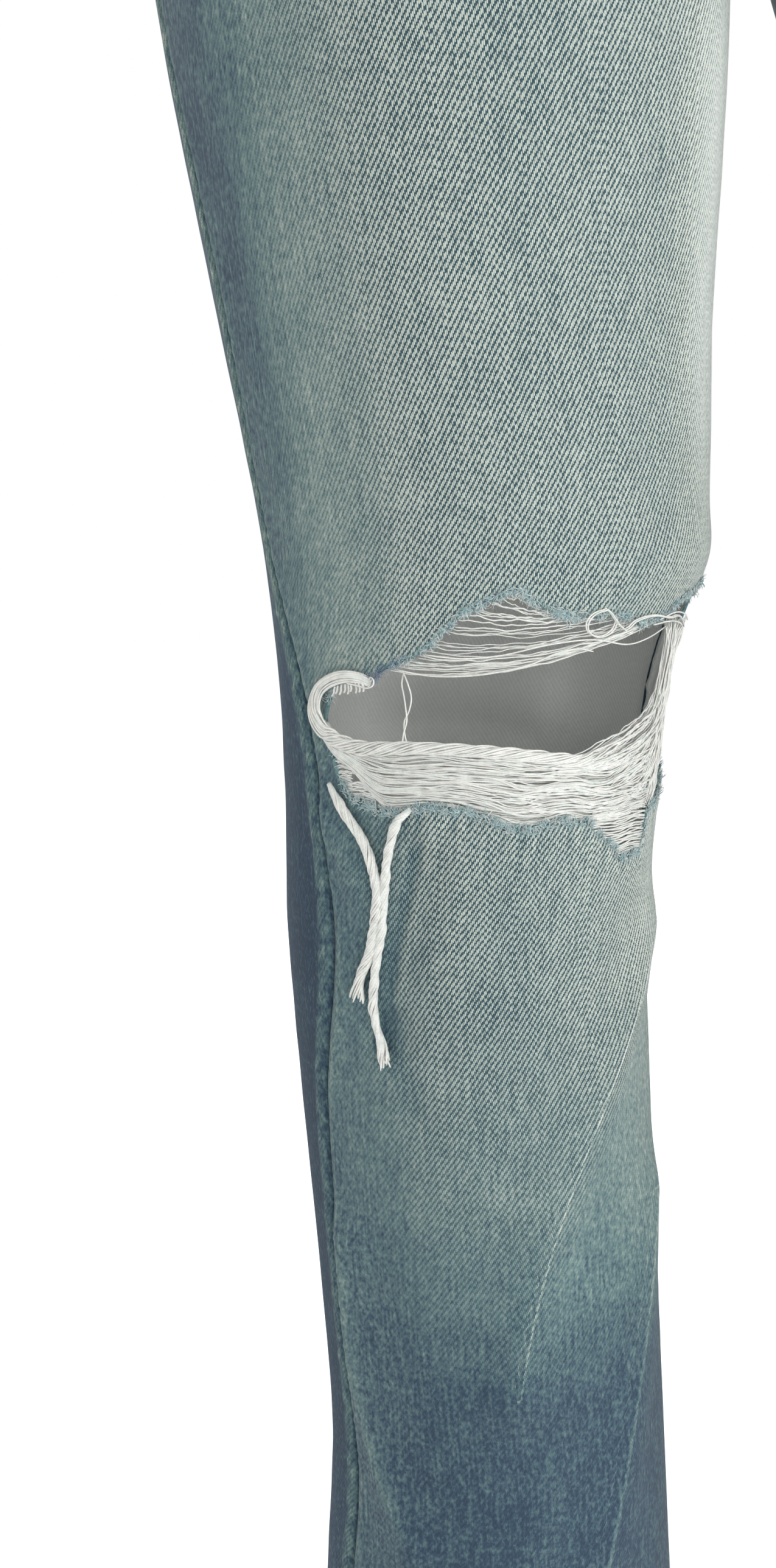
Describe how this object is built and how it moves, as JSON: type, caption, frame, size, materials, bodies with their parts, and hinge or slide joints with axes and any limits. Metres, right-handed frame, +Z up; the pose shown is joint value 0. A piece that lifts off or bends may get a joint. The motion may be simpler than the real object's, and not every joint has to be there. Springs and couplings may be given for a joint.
{
  "type": "ripped jeans",
  "caption": "Hollow worn denim jeans with straight legs, one knee torn wide open with bare cross threads, patch pockets, belt loops and a plain closed fly.",
  "frame": {"origin": "middle of the waist opening, level with the waistband's top at the sides", "axes": "+Z up out of the waist, -Y the way the wearer faces, +X the wearer's left"},
  "size_m": [0.4282, 0.2523, 1.02],
  "materials": {
    "denim_faded": "light-washed right-hand twill, pale worn yarns over teal-blue gaps",
    "denim_blue": "less faded indigo twill",
    "denim_hem": "folded, abraded twill hem",
    "thread": "bare unbleached cotton cross threads, matt and slightly fuzzy",
    "button_metal": "aged, dulled metal"
  },
  "bodies": {
    "root": {"back_left": "denim_blue", "back_pocket_left": "denim_blue", "back_pocket_right": "denim_blue", "back_right": "denim_blue", "belt_loop_back": "denim_blue", "belt_loop_front_left": "denim_blue", "belt_loop_front_right": "denim_blue", "belt_loop_side_left": "denim_blue", "belt_loop_side_right": "denim_blue", "fly_shield": "denim_blue", "front_left": "denim_faded", "front_right": "denim_faded", "hem_left": "denim_hem", "hem_right": "denim_hem", "pocket_facing_left": "denim_blue", "pocket_facing_right": "denim_blue", "tassel_long": "thread", "tassel_short": "thread", "threads_hank": "thread", "threads_ladder": "thread", "threads_rope": "thread", "threads_side_bundle": "thread", "threads_upper": "thread", "waist_button": "button_metal", "waistband": "denim_blue", "yoke_left": "denim_blue", "yoke_right": "denim_blue"}
  },
  "joints": []
}
